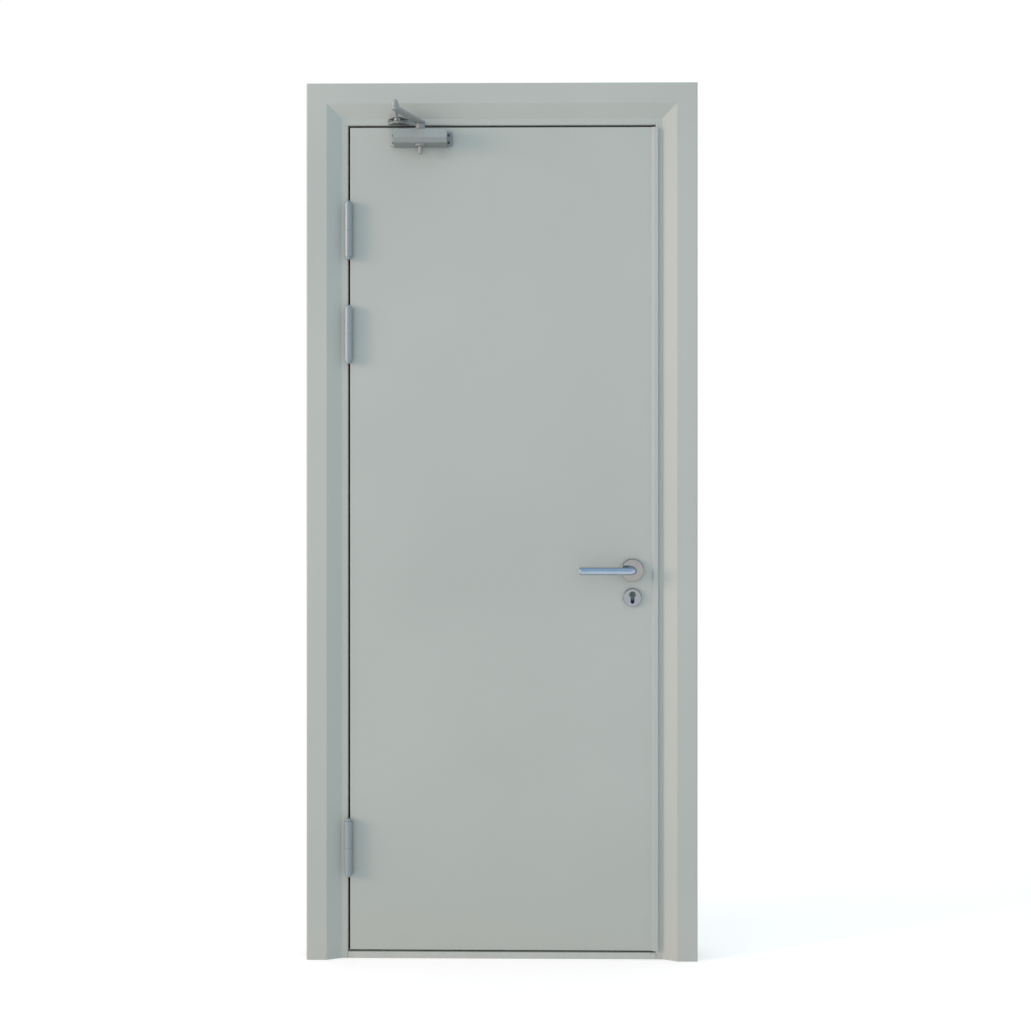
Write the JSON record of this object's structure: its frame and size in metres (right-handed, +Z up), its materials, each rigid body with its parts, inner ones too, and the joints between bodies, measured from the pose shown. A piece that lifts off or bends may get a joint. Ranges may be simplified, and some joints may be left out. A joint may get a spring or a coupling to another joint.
{
  "type": "steel utility door",
  "caption": "Flush steel door leaf in a folded steel frame with a splayed face, lift-off hinges, lever lock and surface door closer.",
  "frame": {"origin": "middle of the sill's underside, half way through the frame's depth", "axes": "+X across the doorway from hinge side to lock side, +Y into the wall, away from the face with the hinges and the closer, +Z up"},
  "size_m": [1, 0.2972, 2.243],
  "materials": {
    "frame_paint": "satin pale grey paint on folded steel",
    "leaf_paint": "satin pale grey paint on sheet steel",
    "seal_rubber": "matt black rubber seal",
    "hinge_paint": "satin pale grey paint",
    "zinc_plate": "zinc plated steel",
    "lock_steel": "satin stainless steel",
    "mineral_wool": "mineral wool slab",
    "rose_steel": "satin stainless steel",
    "lever_steel": "fine satin stainless steel",
    "cylinder_nickel": "matt nickel",
    "closer_silver": "silver paint on a cast body",
    "arm_silver": "silver paint on steel arms",
    "pin_steel": "plain steel pins"
  },
  "bodies": {
    "frame": {"hinge_jamb": "frame_paint", "lock_jamb": "frame_paint", "frame_head": "frame_paint", "sill": "frame_paint", "seal_hinge_side": "seal_rubber", "seal_lock_side": "seal_rubber", "seal_head": "seal_rubber", "seal_sill": "seal_rubber", "wall_anchors_hinge_side": "zinc_plate", "wall_anchors_lock_side": "zinc_plate", "strike_plate": "lock_steel", "strike_box": "zinc_plate", "top_hinge_frame_half": "hinge_paint", "second_hinge_frame_half": "hinge_paint", "bottom_hinge_frame_half": "hinge_paint", "closer_shoe": "arm_silver", "shoe_pin": "pin_steel"},
    "door_leaf": {"leaf_front_skin": "leaf_paint", "leaf_back_skin": "leaf_paint", "lock_edge_channel": "leaf_paint", "leaf_core": "mineral_wool", "lock_case": "zinc_plate", "lock_forend": "lock_steel", "latch_bolt": "lock_steel", "dead_bolt": "lock_steel", "lock_cylinder": "cylinder_nickel", "front_lever_rose": "rose_steel", "back_lever_rose": "rose_steel", "front_keyhole_rose": "rose_steel", "back_keyhole_rose": "rose_steel", "top_hinge_leaf_half": "hinge_paint", "second_hinge_leaf_half": "hinge_paint", "bottom_hinge_leaf_half": "hinge_paint", "closer_body": "closer_silver", "closer_lug_hinge_side": "closer_silver", "closer_lug_lock_side": "closer_silver"},
    "lever_handles": {"front_lever": "lever_steel", "back_lever": "lever_steel", "lever_spindle": "lever_steel"},
    "closer_arm": {"main_arm": "arm_silver", "elbow_rivet": "arm_silver", "closer_spindle": "pin_steel"},
    "closer_forearm": {"forearm": "arm_silver", "elbow_boss": "arm_silver"}
  },
  "joints": [
    {"name": "leaf_hinge", "type": "hinge", "parent": "frame", "child": "door_leaf", "pos_m": [-0.392, -0.05, 0], "axis": [0, 0, -1], "range_deg": [0, 90], "stiffness_Nm_per_rad": 8},
    {"name": "lever_turn", "type": "hinge", "parent": "door_leaf", "child": "lever_handles", "pos_m": [0.3345, -0.015, 0.997], "axis": [0, -1, 0], "range_deg": [0, 40], "stiffness_Nm_per_rad": 1.2, "springref_deg": -45.84},
    {"name": "closer_arm_turn", "type": "hinge", "parent": "door_leaf", "child": "closer_arm", "pos_m": [-0.207, -0.064, 0], "axis": [0, 0, -1], "range_deg": [0, 65.7]},
    {"name": "closer_forearm_turn", "type": "hinge", "parent": "frame", "child": "closer_forearm", "pos_m": [-0.266, -0.066, 0], "axis": [0, 0, -1], "range_deg": [0, 92.74]}
  ],
  "couplings": [
    {"joint": "closer_arm_turn", "follows": "leaf_hinge", "ratio": 0.72994},
    {"joint": "closer_forearm_turn", "follows": "leaf_hinge", "ratio": 1.0303}
  ]
}
